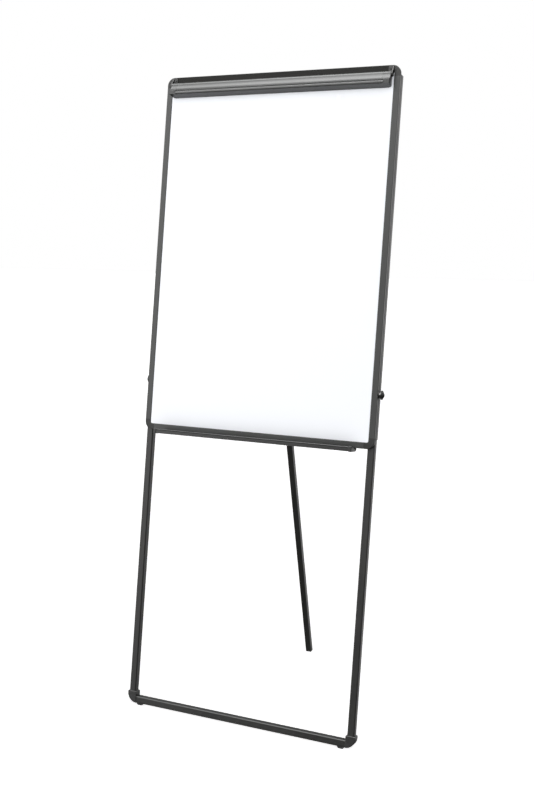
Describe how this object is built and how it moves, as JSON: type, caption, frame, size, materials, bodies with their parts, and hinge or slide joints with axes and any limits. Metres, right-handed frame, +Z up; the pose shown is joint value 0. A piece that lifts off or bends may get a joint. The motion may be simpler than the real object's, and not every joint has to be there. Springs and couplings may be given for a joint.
{
  "type": "flipchart easel",
  "caption": "Leaning framed whiteboard easel with a sprung pad clamp, a pen tray, a telescopic front leg frame and a folding telescopic rear leg.",
  "frame": {"origin": "on the floor, in the middle of the space that the open easel covers", "axes": "+Z up, +X to the right of a reader who faces the board, +Y from the reader towards the rear leg"},
  "size_m": [0.7256, 0.5735, 1.8057],
  "materials": {
    "frame_coat": "satin dark grey powder coat on an aluminium extrusion",
    "corner_plastic": "matt dark grey moulded plastic",
    "writing_sheet": "glossy white lacquered steel sheet",
    "core_board": "pressed fibreboard",
    "back_sheet": "mill finish sheet",
    "tube_coat": "satin dark grey powder coat on steel tube",
    "black_plastic": "fine grained black plastic",
    "clamp_plastic": "satin grey moulded plastic",
    "rubber": "matt black rubber",
    "bracket_steel": "satin dark grey coat on pressed steel",
    "plated_steel": "zinc plated",
    "black_steel": "black coated steel screws",
    "tray_coat": "satin dark grey powder coat on an aluminium extrusion",
    "clamp_coat": "satin grey coat on an aluminium extrusion",
    "trim_plastic": "smooth grey plastic strip",
    "rail_metal": "anodised"
  },
  "bodies": {
    "board": {"back_crossbar": "tube_coat", "clamp_pins": "plated_steel", "clamp_springs": "plated_steel", "frame_bottom_rail": "frame_coat", "frame_corner_bottom_left": "corner_plastic", "frame_corner_bottom_right": "corner_plastic", "frame_corner_top_left": "corner_plastic", "frame_corner_top_right": "corner_plastic", "frame_left_stile": "frame_coat", "frame_right_stile": "frame_coat", "frame_screws": "black_steel", "frame_tie_brackets": "bracket_steel", "frame_top_rail": "frame_coat", "hook_rail": "rail_metal", "left_clamp_bracket": "bracket_steel", "left_sleeve_cap": "black_plastic", "left_sleeve_tube": "tube_coat", "left_tray_cap": "black_plastic", "panel_back_sheet": "back_sheet", "panel_core": "core_board", "pen_tray": "tray_coat", "rear_hinge_bracket": "bracket_steel", "rear_hinge_clip": "plated_steel", "rear_hinge_pin": "plated_steel", "right_clamp_bracket": "bracket_steel", "right_sleeve_cap": "black_plastic", "right_sleeve_tube": "tube_coat", "right_tray_cap": "black_plastic", "sleeve_lock_nuts": "plated_steel", "writing_surface": "writing_sheet"},
    "leg_frame": {"left_leg_tube": "tube_coat", "right_leg_tube": "tube_coat", "left_leg_plug": "black_plastic", "right_leg_plug": "black_plastic", "left_elbow": "black_plastic", "right_elbow": "black_plastic", "foot_bar": "tube_coat", "left_foot_pad": "rubber", "right_foot_pad": "rubber", "elbow_screws": "black_steel"},
    "rear_leg": {"rear_leg_outer_tube": "tube_coat", "rear_leg_head_block": "black_plastic", "rear_leg_collar": "black_plastic", "rear_lock_nut": "plated_steel"},
    "rear_leg_extension": {"rear_leg_inner_tube": "tube_coat", "rear_leg_plug": "black_plastic", "rear_foot": "rubber"},
    "pad_clamp": {"clamp_bar": "clamp_coat", "left_clamp_cap": "clamp_plastic", "right_clamp_cap": "clamp_plastic", "clamp_trim_strip": "trim_plastic", "clamp_grip_strip": "rubber"},
    "left_lock": {"left_lock_knob": "black_plastic", "left_lock_screw": "plated_steel"},
    "right_lock": {"right_lock_knob": "black_plastic", "right_lock_screw": "plated_steel"},
    "rear_lock": {"rear_lock_knob": "black_plastic", "rear_lock_screw": "plated_steel"},
    "left_peg": {"left_pad_peg": "black_plastic"},
    "right_peg": {"right_pad_peg": "black_plastic"}
  },
  "joints": [
    {"name": "leg_frame_slide", "type": "slide", "parent": "board", "child": "leg_frame", "axis": [0, 0.1702, 0.9854], "range_m": [0, 0.77]},
    {"name": "rear_leg_fold", "type": "hinge", "parent": "board", "child": "rear_leg", "pos_m": [0, -0.02857, 1.29602], "axis": [-1, 0, 0], "range_deg": [0, 23.1]},
    {"name": "rear_leg_slide", "type": "slide", "parent": "rear_leg", "child": "rear_leg_extension", "axis": [0, -0.23, 0.9732], "range_m": [0, 0.4]},
    {"name": "pad_clamp_swing", "type": "hinge", "parent": "board", "child": "pad_clamp", "pos_m": [0, 0.00241, 1.78083], "axis": [-1, 0, 0], "range_deg": [0, 70], "stiffness_Nm_per_rad": 0.5, "springref_deg": -28.65},
    {"name": "left_lock_turn", "type": "hinge", "parent": "board", "child": "left_lock", "pos_m": [-0.3385, -0.11368, 0.94133], "axis": [-1, 0, 0], "range_deg": [0, 360]},
    {"name": "right_lock_turn", "type": "hinge", "parent": "board", "child": "right_lock", "pos_m": [0.3385, -0.11368, 0.94133], "axis": [1, 0, 0], "range_deg": [0, 360]},
    {"name": "rear_lock_turn", "type": "hinge", "parent": "rear_leg", "child": "rear_lock", "pos_m": [0.0125, 0.10084, 0.74861], "axis": [1, 0, 0], "range_deg": [0, 360]},
    {"name": "left_peg_slide", "type": "slide", "parent": "board", "child": "left_peg", "axis": [1, 0, 0], "range_m": [-0.135, 0.125]},
    {"name": "right_peg_slide", "type": "slide", "parent": "board", "child": "right_peg", "axis": [1, 0, 0], "range_m": [-0.125, 0.135]}
  ]
}
